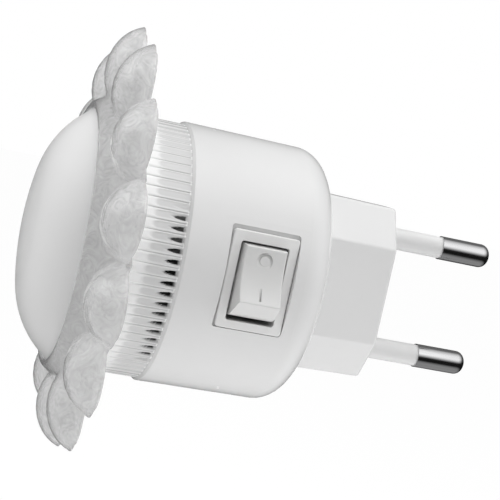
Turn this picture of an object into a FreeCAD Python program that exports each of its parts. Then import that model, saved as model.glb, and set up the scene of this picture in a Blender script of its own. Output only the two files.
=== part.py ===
import FreeCAD, Part
import math
import os

# Plug-in night light with a clear flower shade, an opal dome and a rocker switch.
# Millimetres. The origin is the middle of the plug block's end face, between the pins.
# +Y points along the pins towards the wall, -Y towards the opal dome.
# +Z runs along the pair of pins, and +X is the side that carries the switch.

# Pins, after the flat two-pin plug standard
PIN_SPACING = 19.0
PIN_DIAMETER = 4.0
PIN_LENGTH = 19.0
PIN_TIP_ROUND = 1.5
PIN_CORE_DIAMETER = 3.0
PIN_COLLAR_DIAMETER = 5.2
PIN_COLLAR_THICKNESS = 1.2
PIN_TAIL_DIAMETER = 2.4
PIN_TAIL_LENGTH = 3.0
SLEEVE_DIAMETER = 3.65
SLEEVE_LENGTH = 10.0
SLEEVE_ROOT = 2.0

# Plug block
BLOCK_LENGTH = 14.3
BLOCK_THICKNESS = 13.8
BLOCK_FLAT = 16.0
BLOCK_WIDTH = 28.9
BLOCK_END_FLAT = 4.6
BLOCK_DRAFT = 0.26
BLOCK_WALL = 1.8
BLOCK_FLOOR = 6.0
BLOCK_EDGE_ROUND = 0.9
BLOCK_FACE_ROUND = 0.5

# Drum
DRUM_RADIUS = 21.2
DRUM_TAPER = 0.15
DRUM_LENGTH = 23.8
DRUM_WALL = 1.6
DRUM_BACK_WALL = 2.0
DRUM_BACK_ROUND = 4.5
DRUM_RIM_CHAMFER = 0.4

# Clear flower shade
SKIRT_STEP = 0.4
SKIRT_WALL = 2.5
SPIGOT_CLEARANCE = 0.1
SPIGOT_LENGTH = 4.0
PETAL_COUNT = 14
PETAL_TIP_RADIUS = 34.3
PETAL_REACH = 7.3
PETAL_ROUNDNESS = 6.5
PETAL_SINK = 1.8
PETAL_WALL = 1.2
PETAL_PLANE = 9.2
BAND_RADIUS = 24.8
BAND_SLOPE = 4.3
BAND_LIP = 0.9
BAND_ROOT = 1.3

# Opal dome
DOME_RIM_RADIUS = 20.17
DOME_HEIGHT = 7.5
DOME_CROWN_RADIUS = 54.8
DOME_SHOULDER_RADIUS = 16.0
DOME_WALL = 1.5
DOME_SKIRT = 1.7
DOME_FIT = 0.13
DOME_RIM_PLANE = 14.2

# Rocker switch
SWITCH_FROM_DRUM_FRONT = 12.3
BEZEL_LENGTH = 15.0
BEZEL_WIDTH = 10.4
BEZEL_THICKNESS = 0.8
BEZEL_SET_BACK = 1.2
BEZEL_CORNER = 0.5
BEZEL_EDGE_ROUND = 0.2
WELL_LENGTH = 12.15
WELL_WIDTH = 7.6
WELL_DROP = 0.17
WELL_CORNER = 0.4
SWITCH_WALL = 0.75
SWITCH_DEPTH = 11.0
SWITCH_FLOOR = 1.2
POCKET_GAP_FRONT = 0.4
POCKET_GAP_BACK = 0.1
POCKET_GAP_ABOVE = 0.6
POCKET_GAP_BELOW = 0.12
PAD_THICKNESS = 2.3
PAD_MARGIN = 1.6
CLIP_REACH = 0.6
CLIP_LENGTH = 2.2
CLIP_WIDTH = 4.0
CLIP_CLEARANCE = 0.15

# Rocker, in its level position, measured from its pivot
ROCKER_TILT = 34.0
ROCKER_PIVOT_DEPTH = 1.8
ROCKER_WIDTH = 6.9
ROCKER_LIP_WIDTH = 6.4
ROCKER_LIP_SPAN = 8.6
ROCKER_LIP_HEIGHT = 4.55
ROCKER_BASE_RADIUS = 5.65
ROCKER_BASE_RISE = 1.3
ROCKER_BASE_DROP = 1.2
ROCKER_SAG = 0.95
ROCKER_SHELL = 0.9
ROCKER_EDGE_ROUND = 0.2
TRUNNION_DIAMETER = 1.6
TRUNNION_CLEARANCE = 0.06
MARK_DEPTH = 0.2
RING_LINE = 0.45
BAR_LINE = 0.3
MARK_SIZE = 2.4
MARK_CENTRE = 2.5

# Plunger, spring and rocking contact
GUIDE_DIAMETER = 3.0
GUIDE_LENGTH = 3.6
PLUNGER_DIAMETER = 1.9
PLUNGER_CLEARANCE = 0.08
PLUNGER_LENGTH = 6.28
SPRING_LENGTH = 2.4
SPRING_WIRE = 0.3
LEVER_LENGTH = 8.6
LEVER_WIDTH = 3.0
LEVER_THICKNESS = 0.5
LEVER_TILT = 16.0
LEVER_GAP = 0.12
FULCRUM_GAP = 0.05
TERMINAL_WIDTH = 2.8
TERMINAL_THICKNESS = 0.6
TERMINAL_TAIL = 3.2
END_CONTACT_OFFSET = 3.6

# Lamp board and what is soldered to it
BOARD_MARGIN = 1.8
BOARD_THICKNESS = 1.0
BOARD_FROM_DRUM_FRONT = 3.0
POST_RADIUS = 2.2
POST_MARGIN = 2.5
POST_ANGLES = (60.0, 180.0, 300.0)
SCREW_DIAMETER = 1.8
SCREW_LENGTH = 6.0
SCREW_TIP_GAP = 0.9
SCREW_HEAD_DIAMETER = 3.6
SCREW_HEAD_HEIGHT = 1.3
SCREW_HEAD_ROUND = 0.65
SCREW_SLOT_LENGTH = 2.5
SCREW_SLOT_WIDTH = 0.45
SCREW_HOLE_CLEARANCE = 0.2
LED_COUNT = 4
LED_CIRCLE = 7.0
LED_START_ANGLE = 45.0
LED_DIAMETER = 5.0
LED_FLANGE_DIAMETER = 5.8
LED_FLANGE_HEIGHT = 1.0
LED_BODY_HEIGHT = 4.4
FILM_CAPACITOR = (5.0, 9.0, 10.0)
FILM_CAPACITOR_PLACE = (-5.5, 6.5)
FILM_CAPACITOR_ROUND = 0.42
CAN_DIAMETER = 6.3
CAN_HEIGHT = 9.5
CAN_PLACE = (-5.0, -7.0)
CAN_ROUND = 0.45
RECTIFIER = (4.5, 2.8, 6.0)
RECTIFIER_FROM_TERMINAL = 1.4
RECTIFIER_CHAMFER = 0.3
RESISTOR_DIAMETER = 2.3
RESISTOR_LENGTH = 6.3
RESISTOR_ROUND = 0.46
RESISTOR_LEAD_DIAMETER = 0.6
RESISTOR_LEAD_REACH = 1.4
RESISTOR_STAND_OFF = 0.4
BLEED_RESISTOR_PLACE = (5.4, 6.6)
SERIES_RESISTOR_PLACE = (5.4, -6.6)

# Inside wires. Each bend is X, Y and Z from the pin's or terminal's end that the wire is soldered to.
WIRE_DIAMETER = 1.1
WIRE_BEND_SHARE = 0.45
LIVE_WIRE_PIN_BENDS = ((0, -3.4, 0), (0.3, -7.0, -1.4), (1.2, -11.0, -3.6))
LIVE_WIRE_TERMINAL_BENDS = ((-2.0, 0.9, 0.6), (-1.1, 0, 0))
SWITCH_WIRE_BENDS = ((-1.8, 0, 0), (-4.0, -2.0, -0.6), (-5.5, -5.8, -1.5), (-6.0, -10.2, -1.4))
NEUTRAL_WIRE_BENDS = ((0, -5.5, 0), (0.5, -11.5, -0.5), (0.6, -18.5, -0.9), (0, -24.5, -0.5))

# Sizes and places that follow from the ones above
DRUM_BACK = -BLOCK_LENGTH
DRUM_FRONT = DRUM_BACK - DRUM_LENGTH
DRUM_BORE_RADIUS = DRUM_RADIUS - DRUM_WALL
DRUM_FLOOR = DRUM_BACK - DRUM_BACK_WALL
SKIRT_RADIUS = DRUM_RADIUS - SKIRT_STEP
SKIRT_BORE_RADIUS = SKIRT_RADIUS - SKIRT_WALL
BOARD_RADIUS = SKIRT_BORE_RADIUS - BOARD_MARGIN
POST_CIRCLE = BOARD_RADIUS - POST_MARGIN
PETAL_CENTRE_RADIUS = PETAL_TIP_RADIUS - PETAL_REACH
BEZEL_FACE = DRUM_RADIUS - BEZEL_SET_BACK
BLOCK_CAVITY_END = -BLOCK_FLOOR
PETAL_BACK = DRUM_FRONT - PETAL_PLANE
DOME_RIM = DRUM_FRONT - DOME_RIM_PLANE
DOME_SEAT = DOME_RIM + DOME_SKIRT
DOME_APEX = DOME_RIM - DOME_HEIGHT
SWITCH_Y = DRUM_FRONT + SWITCH_FROM_DRUM_FRONT
BOARD_BACK = DRUM_FRONT - BOARD_FROM_DRUM_FRONT
BOARD_FRONT = BOARD_BACK - BOARD_THICKNESS
BEZEL_BACK = BEZEL_FACE - BEZEL_THICKNESS
PIVOT_X = BEZEL_FACE - ROCKER_PIVOT_DEPTH
SWITCH_FLOOR_X = BEZEL_BACK - SWITCH_DEPTH + SWITCH_FLOOR
TERMINAL_END = SWITCH_FLOOR_X - SWITCH_FLOOR - TERMINAL_TAIL
PIN_END = BLOCK_CAVITY_END - PIN_COLLAR_THICKNESS - PIN_TAIL_LENGTH
BORE_RADIUS = DOME_RIM_RADIUS + DOME_FIT

AXIS_Y = FreeCAD.Vector(0, 1, 0)
AXIS_X = FreeCAD.Vector(1, 0, 0)
ORIGIN = FreeCAD.Vector(0, 0, 0)
SMALL = 1e-6


def vec(x, y, z):
    return FreeCAD.Vector(x, y, z)


def turned(shape, centre, axis, degrees):
    copy = shape.copy()
    copy.rotate(centre, axis, degrees)
    return copy


def closed_polygon(corners):
    return Part.makePolygon(corners + [corners[0]])


def revolved(wire):
    """A solid of revolution about Y from a closed wire of radius and Y."""
    return Part.Face(wire).revolve(ORIGIN, AXIS_Y, 360)


def round_bar(radius, start, end, x=0.0, z=0.0):
    """A cylinder along Y between two places."""
    return Part.makeCylinder(radius, end - start, vec(x, start, z), AXIS_Y)


def tube_bar(outer, inner, start, end, x=0.0, z=0.0):
    return round_bar(outer, start, end, x, z).cut(round_bar(inner, start, end, x, z))


def block_at(size_x, size_y, size_z, x, y, z):
    """A box from its size and its middle."""
    return Part.makeBox(size_x, size_y, size_z, vec(x - size_x / 2, y - size_y / 2, z - size_z / 2))


def rounded_plate(thickness, width, length, corner, x_back, y, z=0.0):
    """A plate facing +X with its four corners rounded."""
    plate = Part.makeBox(thickness, width, length, vec(x_back, y - width / 2, z - length / 2))
    edges = [e for e in plate.Edges if abs(e.tangentAt(e.FirstParameter).x) > 0.99]
    return plate.makeFillet(corner, edges)


def on_circle(radius, degrees):
    angle = math.radians(degrees)
    return radius * math.cos(angle), radius * math.sin(angle)


def save(name, shape):
    shape.exportStep("parts/" + name + ".step")
    print(name, len(shape.Solids), round(shape.Volume, 2), shape.isValid())


def block_outline(inset, y):
    """The plug block's eight-sided outline at one place along Y, drawn in by an inset."""
    bend = math.atan2(BLOCK_THICKNESS - BLOCK_END_FLAT, BLOCK_WIDTH - BLOCK_FLAT)
    side = BLOCK_THICKNESS / 2 - inset
    end = BLOCK_WIDTH / 2 - inset
    flat = BLOCK_FLAT / 2 - inset * math.tan(bend / 2)
    cap = BLOCK_END_FLAT / 2 - inset * math.tan((math.pi / 2 - bend) / 2)
    corners = [(side, -flat), (side, flat), (cap, end), (-cap, end)]
    corners += [(-side, flat), (-side, -flat), (-cap, -end), (cap, -end)]
    return closed_polygon([vec(x, y, z) for x, z in corners])


def block_body():
    root = DRUM_BACK - DRUM_BACK_WALL
    lengthen = BLOCK_DRAFT * DRUM_BACK_WALL / BLOCK_LENGTH
    body = Part.makeLoft([block_outline(-BLOCK_DRAFT - lengthen, root), block_outline(0, 0)], True, True)
    long_edges = []
    for edge in body.Edges:
        if abs(edge.tangentAt(edge.FirstParameter).y) > 0.9:
            long_edges.append(edge)
    body = body.makeFillet(BLOCK_EDGE_ROUND, long_edges)
    return body.makeFillet(BLOCK_FACE_ROUND, [e for e in body.Edges if e.BoundBox.YMin > -SMALL])


def block_cavity():
    start = block_outline(BLOCK_WALL, DRUM_FLOOR)
    end = block_outline(BLOCK_WALL, BLOCK_CAVITY_END)
    return Part.makeLoft([start, end], True, True)


def drum_shell():
    rear_radius = DRUM_RADIUS - DRUM_TAPER
    round_start = DRUM_BACK - DRUM_BACK_ROUND
    flat_radius = rear_radius - DRUM_BACK_ROUND
    diagonal = math.sqrt(0.5)
    middle = diagonal * DRUM_BACK_ROUND
    corner = vec(flat_radius + middle, round_start + middle, 0)
    rim = vec(DRUM_RADIUS - DRUM_RIM_CHAMFER, DRUM_FRONT, 0)
    rim_side = vec(DRUM_RADIUS, DRUM_FRONT + DRUM_RIM_CHAMFER, 0)
    edges = [
        Part.LineSegment(vec(0, DRUM_FRONT, 0), rim),
        Part.LineSegment(rim, rim_side),
        Part.LineSegment(rim_side, vec(rear_radius, round_start, 0)),
        Part.Arc(vec(rear_radius, round_start, 0), corner, vec(flat_radius, DRUM_BACK, 0)),
        Part.LineSegment(vec(flat_radius, DRUM_BACK, 0), vec(0, DRUM_BACK, 0)),
        Part.LineSegment(vec(0, DRUM_BACK, 0), vec(0, DRUM_FRONT, 0)),
    ]
    outside = revolved(Part.Wire([e.toShape() for e in edges]))
    inner_round = DRUM_BACK_ROUND - DRUM_WALL
    inside_start = DRUM_FLOOR - inner_round
    inner_flat = DRUM_BORE_RADIUS - inner_round
    inner_middle = diagonal * inner_round
    inner_corner = vec(inner_flat + inner_middle, inside_start + inner_middle, 0)
    hollow_edges = [
        Part.LineSegment(vec(0, DRUM_FRONT, 0), vec(DRUM_BORE_RADIUS, DRUM_FRONT, 0)),
        Part.LineSegment(vec(DRUM_BORE_RADIUS, DRUM_FRONT, 0), vec(DRUM_BORE_RADIUS, inside_start, 0)),
        Part.Arc(vec(DRUM_BORE_RADIUS, inside_start, 0), inner_corner, vec(inner_flat, DRUM_FLOOR, 0)),
        Part.LineSegment(vec(inner_flat, DRUM_FLOOR, 0), vec(0, DRUM_FLOOR, 0)),
        Part.LineSegment(vec(0, DRUM_FLOOR, 0), vec(0, DRUM_FRONT, 0)),
    ]
    hollow = revolved(Part.Wire([e.toShape() for e in hollow_edges]))
    return outside, hollow


def switch_pocket():
    """The bezel's place in the drum, with its own gap on each side."""
    width = BEZEL_WIDTH + POCKET_GAP_FRONT + POCKET_GAP_BACK
    length = BEZEL_LENGTH + POCKET_GAP_ABOVE + POCKET_GAP_BELOW
    y = SWITCH_Y + (POCKET_GAP_BACK - POCKET_GAP_FRONT) / 2
    z = (POCKET_GAP_ABOVE - POCKET_GAP_BELOW) / 2
    return rounded_plate(DRUM_RADIUS, width, length, BEZEL_CORNER, BEZEL_BACK, y, z)


def drum_housing():
    outside, hollow = drum_shell()
    pad_back = BEZEL_BACK - PAD_THICKNESS
    pad_width = BEZEL_WIDTH + 2 * PAD_MARGIN
    pad_length = BEZEL_LENGTH + 2 * PAD_MARGIN
    pad_corner = vec(pad_back, SWITCH_Y - pad_width / 2, -pad_length / 2)
    pad = Part.makeBox(DRUM_RADIUS, pad_width, pad_length, pad_corner)
    housing = outside.cut(hollow).fuse([pad.common(outside), block_body()])
    posts = []
    for angle in POST_ANGLES:
        x, z = on_circle(POST_CIRCLE, angle)
        posts.append(round_bar(POST_RADIUS, BOARD_BACK, DRUM_FLOOR, x, z))
    housing = housing.fuse(posts)
    cuts = [block_cavity()]
    for angle in POST_ANGLES:
        x, z = on_circle(POST_CIRCLE, angle)
        cuts.append(round_bar(SCREW_DIAMETER / 2, BOARD_BACK, BOARD_BACK + SCREW_LENGTH, x, z))
    for side in (1, -1):
        z = side * PIN_SPACING / 2
        cuts.append(round_bar(PIN_CORE_DIAMETER / 2, BLOCK_CAVITY_END, 0, 0, z))
        cuts.append(round_bar(SLEEVE_DIAMETER / 2, -SLEEVE_ROOT, 0, 0, z))
    cuts.append(switch_pocket())
    body_width = WELL_WIDTH + 2 * (SWITCH_WALL + CLIP_CLEARANCE)
    body_length = WELL_LENGTH + 2 * (SWITCH_WALL + CLIP_CLEARANCE)
    cuts.append(block_at(DRUM_RADIUS, body_width, body_length, BEZEL_BACK, SWITCH_Y, -WELL_DROP))
    return housing.cut(cuts).removeSplitter()


def petal_scoop(grow):
    """A whole egg on the +X side, whose long axis is radial. grow is negative for its hollow."""
    reach = PETAL_REACH / math.sqrt(1 - (PETAL_SINK / PETAL_ROUNDNESS) ** 2)
    centre = vec(PETAL_CENTRE_RADIUS, PETAL_BACK + PETAL_SINK, 0)
    ellipse = Part.Ellipse(centre, reach + grow, PETAL_ROUNDNESS + grow)
    half = ellipse.toShape(0, math.pi)
    ends = [vertex.Point for vertex in half.Vertexes]
    axis = Part.LineSegment(ends[0], ends[-1]).toShape()
    face = Part.Face(Part.Wire([half, axis]))
    return face.revolve(centre, AXIS_X, 360)


def one_petal():
    scoop = petal_scoop(0.0).cut(petal_scoop(-PETAL_WALL))
    half_angle = 180.0 / PETAL_COUNT
    far = 2 * PETAL_TIP_RADIUS
    x, z = on_circle(far, half_angle)
    depth = 4 * PETAL_ROUNDNESS
    corners = [vec(0, PETAL_BACK - depth, 0), vec(x, PETAL_BACK - depth, z), vec(x, PETAL_BACK - depth, -z)]
    wedge = Part.Face(closed_polygon(corners)).extrude(vec(0, depth, 0))
    return scoop.common(wedge)


def shade_ring():
    front = DOME_RIM - BAND_LIP / 2
    spigot_radius = DRUM_BORE_RADIUS - SPIGOT_CLEARANCE
    profile = [
        (BORE_RADIUS, front),
        (BORE_RADIUS + BAND_LIP, front),
        (BAND_RADIUS, front + BAND_SLOPE),
        (BAND_RADIUS, PETAL_BACK),
        (SKIRT_RADIUS, PETAL_BACK + BAND_ROOT),
        (SKIRT_RADIUS, DRUM_FRONT),
        (spigot_radius, DRUM_FRONT),
        (spigot_radius, DRUM_FRONT + SPIGOT_LENGTH),
        (SKIRT_BORE_RADIUS, DRUM_FRONT + SPIGOT_LENGTH),
        (SKIRT_BORE_RADIUS, DOME_SEAT),
        (BORE_RADIUS, DOME_SEAT),
    ]
    return revolved(closed_polygon([vec(radius, y, 0) for radius, y in profile]))


def flower_shade():
    petals = []
    for index in range(PETAL_COUNT):
        petals.append(turned(one_petal(), ORIGIN, AXIS_Y, 90.0 + index * 360.0 / PETAL_COUNT))
    return shade_ring().fuse(petals).removeSplitter()


def dome_outline(wall):
    """The dome's crown and shoulder arcs, drawn in by a wall, from the axis to the rim."""
    crown_y = DOME_APEX + DOME_CROWN_RADIUS
    gap = DOME_CROWN_RADIUS - DOME_SHOULDER_RADIUS
    rim_from_crown = crown_y - DOME_RIM
    reach = math.hypot(DOME_RIM_RADIUS, rim_from_crown)
    swing = math.acos((gap ** 2 + reach ** 2 - DOME_SHOULDER_RADIUS ** 2) / (2 * gap * reach))
    tilt = math.atan2(DOME_RIM_RADIUS, rim_from_crown) - swing
    shoulder = (gap * math.sin(tilt), crown_y - gap * math.cos(tilt))
    crown = DOME_CROWN_RADIUS - wall
    bend = DOME_SHOULDER_RADIUS - wall
    apex = vec(0, DOME_APEX + wall, 0)
    crown_middle = vec(crown * math.sin(tilt / 2), crown_y - crown * math.cos(tilt / 2), 0)
    joint = vec(crown * math.sin(tilt), crown_y - crown * math.cos(tilt), 0)
    rim_rise = shoulder[1] - DOME_RIM
    rim = vec(shoulder[0] + math.sqrt(bend ** 2 - rim_rise ** 2), DOME_RIM, 0)
    rim_angle = math.acos(rim_rise / bend)
    middle_angle = (tilt + rim_angle) / 2
    shoulder_r = shoulder[0] + bend * math.sin(middle_angle)
    shoulder_y = shoulder[1] - bend * math.cos(middle_angle)
    crown_arc = Part.Arc(apex, crown_middle, joint)
    shoulder_arc = Part.Arc(joint, vec(shoulder_r, shoulder_y, 0), rim)
    return [crown_arc.toShape(), shoulder_arc.toShape()], apex, rim


def opal_dome():
    outer, outer_apex, outer_rim = dome_outline(0.0)
    inner, inner_apex, inner_rim = dome_outline(DOME_WALL)
    seat_outer = vec(outer_rim.x, DOME_SEAT, 0)
    seat_inner = vec(inner_rim.x, DOME_SEAT, 0)
    edges = list(outer)
    edges.append(Part.LineSegment(outer_rim, seat_outer).toShape())
    edges.append(Part.LineSegment(seat_outer, seat_inner).toShape())
    edges.append(Part.LineSegment(seat_inner, inner_rim).toShape())
    edges.extend(reversed(inner))
    edges.append(Part.LineSegment(inner_apex, outer_apex).toShape())
    return revolved(Part.Wire(Part.__sortEdges__(edges)))


def contact_pin(side):
    z = side * PIN_SPACING / 2
    tip = round_bar(PIN_DIAMETER / 2, SLEEVE_LENGTH, PIN_LENGTH, 0, z)
    tip = tip.makeFillet(PIN_TIP_ROUND, [e for e in tip.Edges if e.BoundBox.YMin > PIN_LENGTH - SMALL])
    core = round_bar(PIN_CORE_DIAMETER / 2, BLOCK_CAVITY_END, SLEEVE_LENGTH, 0, z)
    collar_end = BLOCK_CAVITY_END - PIN_COLLAR_THICKNESS
    collar = round_bar(PIN_COLLAR_DIAMETER / 2, collar_end, BLOCK_CAVITY_END, 0, z)
    tail = round_bar(PIN_TAIL_DIAMETER / 2, collar_end - PIN_TAIL_LENGTH, collar_end, 0, z)
    return tip.fuse([core, collar, tail]).removeSplitter()


def pin_sleeve(side):
    z = side * PIN_SPACING / 2
    return tube_bar(SLEEVE_DIAMETER / 2, PIN_CORE_DIAMETER / 2, -SLEEVE_ROOT, SLEEVE_LENGTH, 0, z)


def switch_clip(side):
    """A wedge at one end of the switch that snaps behind the housing's pad."""
    end = side * (WELL_LENGTH / 2 + SWITCH_WALL) - WELL_DROP
    top = BEZEL_BACK - PAD_THICKNESS - CLIP_CLEARANCE
    inner = end - side * SWITCH_WALL / 2
    corners = [
        vec(top, 0, inner),
        vec(top, 0, end + side * CLIP_REACH),
        vec(top - CLIP_LENGTH, 0, end),
        vec(top - CLIP_LENGTH, 0, inner),
    ]
    face = Part.Face(closed_polygon(corners))
    face.translate(vec(0, SWITCH_Y - CLIP_WIDTH / 2, 0))
    return face.extrude(vec(0, CLIP_WIDTH, 0))


def switch_body():
    bezel = rounded_plate(BEZEL_THICKNESS, BEZEL_WIDTH, BEZEL_LENGTH, BEZEL_CORNER, BEZEL_BACK, SWITCH_Y)
    face_edges = [e for e in bezel.Edges if e.BoundBox.XMin > BEZEL_FACE - SMALL]
    bezel = bezel.makeFillet(BEZEL_EDGE_ROUND, face_edges)
    width = WELL_WIDTH + 2 * SWITCH_WALL
    length = WELL_LENGTH + 2 * SWITCH_WALL
    case_corner = vec(BEZEL_BACK - SWITCH_DEPTH, SWITCH_Y - width / 2, -length / 2 - WELL_DROP)
    case = Part.makeBox(SWITCH_DEPTH, width, length, case_corner)
    opening = (WELL_CORNER, SWITCH_FLOOR_X, SWITCH_Y, -WELL_DROP)
    well = rounded_plate(DRUM_RADIUS, WELL_WIDTH, WELL_LENGTH, *opening)
    body = bezel.fuse([case, switch_clip(1), switch_clip(-1)]).cut(well)
    hole = TRUNNION_DIAMETER / 2 + TRUNNION_CLEARANCE
    cross = round_bar(hole, SWITCH_Y - width / 2, SWITCH_Y + width / 2, PIVOT_X)
    slots = []
    for z in (0.0, END_CONTACT_OFFSET):
        slots.append(terminal_blade(SWITCH_FLOOR_X + SWITCH_FLOOR, z))
    return body.cut([cross] + slots).removeSplitter()


def rocker_profile():
    """The rocker's side outline as edges in X and Z about its pivot, concave on top."""
    lip = ROCKER_LIP_SPAN / 2
    base = math.sqrt(ROCKER_BASE_RADIUS ** 2 - ROCKER_BASE_RISE ** 2)
    foot = math.sqrt(ROCKER_BASE_RADIUS ** 2 - ROCKER_BASE_DROP ** 2)

    def at(height, z):
        return vec(PIVOT_X + height, 0, z)

    dip = at(ROCKER_LIP_HEIGHT - ROCKER_SAG, 0)
    edges = [
        Part.Arc(at(ROCKER_LIP_HEIGHT, -lip), dip, at(ROCKER_LIP_HEIGHT, lip)),
        Part.LineSegment(at(ROCKER_LIP_HEIGHT, lip), at(ROCKER_BASE_RISE, base)),
        Part.Arc(at(ROCKER_BASE_RISE, base), at(0, ROCKER_BASE_RADIUS), at(-ROCKER_BASE_DROP, foot)),
        Part.LineSegment(at(-ROCKER_BASE_DROP, foot), at(-ROCKER_BASE_DROP, -foot)),
        Part.Arc(at(-ROCKER_BASE_DROP, -foot), at(0, -ROCKER_BASE_RADIUS), at(ROCKER_BASE_RISE, -base)),
        Part.LineSegment(at(ROCKER_BASE_RISE, -base), at(ROCKER_LIP_HEIGHT, -lip)),
    ]
    return [e.toShape() for e in edges]


def rocker_side_wedge(side):
    """What the draft takes off one side of the rocker, from its base up to its lip."""
    low = PIVOT_X + ROCKER_BASE_RISE
    high = PIVOT_X + ROCKER_LIP_HEIGHT
    edge = SWITCH_Y + side * ROCKER_WIDTH / 2
    lip_edge = SWITCH_Y + side * ROCKER_LIP_WIDTH / 2
    far = edge + side * ROCKER_WIDTH
    corners = [vec(low, edge, 0), vec(high, lip_edge, 0), vec(high, far, 0), vec(low, far, 0)]
    face = Part.Face(closed_polygon(corners))
    face.translate(vec(0, 0, -WELL_LENGTH))
    return face.extrude(vec(0, 0, 2 * WELL_LENGTH))


def rocker_marks():
    """A sunk ring over the off half and a sunk bar over the on half."""
    top = PIVOT_X + ROCKER_LIP_HEIGHT - ROCKER_SAG
    mark_floor = top - MARK_DEPTH + ROCKER_SAG * (2 * MARK_CENTRE / ROCKER_LIP_SPAN) ** 2
    centre = vec(mark_floor, SWITCH_Y, MARK_CENTRE)
    ring = Part.makeCylinder(MARK_SIZE / 2, ROCKER_LIP_HEIGHT, centre, AXIS_X)
    ring = ring.cut(Part.makeCylinder(MARK_SIZE / 2 - RING_LINE, ROCKER_LIP_HEIGHT, centre, AXIS_X))
    bar_corner = vec(mark_floor, SWITCH_Y - BAR_LINE / 2, -MARK_CENTRE - MARK_SIZE / 2)
    return [ring, Part.makeBox(ROCKER_LIP_HEIGHT, BAR_LINE, MARK_SIZE, bar_corner)]


def guide_top():
    return PIVOT_X + ROCKER_LIP_HEIGHT - ROCKER_SAG - ROCKER_SHELL


def along_x(radius, start, end):
    """A cylinder along X over the middle of the switch."""
    return Part.makeCylinder(radius, end - start, vec(start, SWITCH_Y, 0), AXIS_X)


def rocker_cap():
    """The rocker's block with its drafted sides and its rounded lip."""
    face = Part.Face(Part.Wire(rocker_profile()))
    face.translate(vec(0, SWITCH_Y - ROCKER_WIDTH / 2, 0))
    cap = face.extrude(vec(0, ROCKER_WIDTH, 0))
    cap = cap.cut([rocker_side_wedge(1), rocker_side_wedge(-1)])
    lowest = PIVOT_X + ROCKER_LIP_HEIGHT - ROCKER_SAG - SMALL
    return cap.makeFillet(ROCKER_EDGE_ROUND, [e for e in cap.Edges if e.BoundBox.XMin > lowest])


def level_rocker():
    hollow_top = guide_top()
    hollow_bottom = PIVOT_X - ROCKER_BASE_DROP
    width = ROCKER_LIP_WIDTH - 2 * ROCKER_SHELL
    length = ROCKER_LIP_SPAN - 2 * ROCKER_SHELL
    middle = (hollow_top + hollow_bottom) / 2
    hollow = block_at(hollow_top - hollow_bottom, width, length, middle, SWITCH_Y, 0)
    guide_bottom = hollow_bottom - GUIDE_LENGTH
    guide = along_x(GUIDE_DIAMETER / 2, guide_bottom, hollow_top)
    bore = along_x(PLUNGER_DIAMETER / 2 + PLUNGER_CLEARANCE, guide_bottom, hollow_top)
    reach = WELL_WIDTH / 2 + SWITCH_WALL - TRUNNION_CLEARANCE
    trunnion = round_bar(TRUNNION_DIAMETER / 2, SWITCH_Y - reach, SWITCH_Y + reach, PIVOT_X)
    rocker = rocker_cap().cut(hollow).fuse([guide, trunnion])
    return rocker.cut([bore] + rocker_marks()).removeSplitter()


def lever_top():
    """The rocking contact's upper face at its fulcrum."""
    return plunger_tip() - LEVER_GAP


def plunger_tip():
    return guide_top() - SPRING_LENGTH - PLUNGER_LENGTH


def level_plunger():
    radius = PLUNGER_DIAMETER / 2
    start = plunger_tip() + radius
    nose = Part.makeSphere(radius, vec(start, SWITCH_Y, 0))
    return along_x(radius, start, plunger_tip() + PLUNGER_LENGTH).fuse(nose).removeSplitter()


def level_spring():
    """The spring as a plain sleeve of its outside size, which fills its place in the guide."""
    outer = PLUNGER_DIAMETER / 2
    start = guide_top() - SPRING_LENGTH
    return along_x(outer, start, guide_top()).cut(along_x(outer - SPRING_WIRE, start, guide_top()))


def at_rest(shape):
    """Tilts what rides on the rocker from level to the off position."""
    return turned(shape, vec(PIVOT_X, SWITCH_Y, 0), AXIS_Y, -ROCKER_TILT / 2)


def contact_lever():
    top = lever_top()
    plate = block_at(LEVER_THICKNESS, LEVER_WIDTH, LEVER_LENGTH, top - LEVER_THICKNESS / 2, SWITCH_Y, 0)
    fulcrum = vec(top - LEVER_THICKNESS, SWITCH_Y, 0)
    return turned(plate, fulcrum, AXIS_Y, LEVER_TILT / 2)


def terminal_blade(top, z):
    """A blade that comes through the switch's floor, from its tail up to a height."""
    corner = vec(TERMINAL_END, SWITCH_Y - TERMINAL_WIDTH / 2, z - TERMINAL_THICKNESS / 2)
    return Part.makeBox(top - TERMINAL_END, TERMINAL_WIDTH, TERMINAL_THICKNESS, corner)


def centre_terminal():
    radius = TERMINAL_THICKNESS / 2
    top = lever_top() - LEVER_THICKNESS - FULCRUM_GAP - radius
    edge = round_bar(radius, SWITCH_Y - TERMINAL_WIDTH / 2, SWITCH_Y + TERMINAL_WIDTH / 2, top)
    return terminal_blade(top, 0).fuse(edge).removeSplitter()


def end_terminal():
    """The fixed contact, whose tip the lever reaches in the on position."""
    fall = (END_CONTACT_OFFSET + TERMINAL_THICKNESS / 2) * math.tan(math.radians(LEVER_TILT / 2))
    return terminal_blade(lever_top() - LEVER_THICKNESS - fall - LEVER_GAP / 2, END_CONTACT_OFFSET)


def led_board():
    board = round_bar(BOARD_RADIUS, BOARD_FRONT, BOARD_BACK)
    holes = []
    for angle in POST_ANGLES:
        x, z = on_circle(POST_CIRCLE, angle)
        holes.append(round_bar(SCREW_DIAMETER / 2 + SCREW_HOLE_CLEARANCE, BOARD_FRONT, BOARD_BACK, x, z))
    return board.cut(holes)


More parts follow.
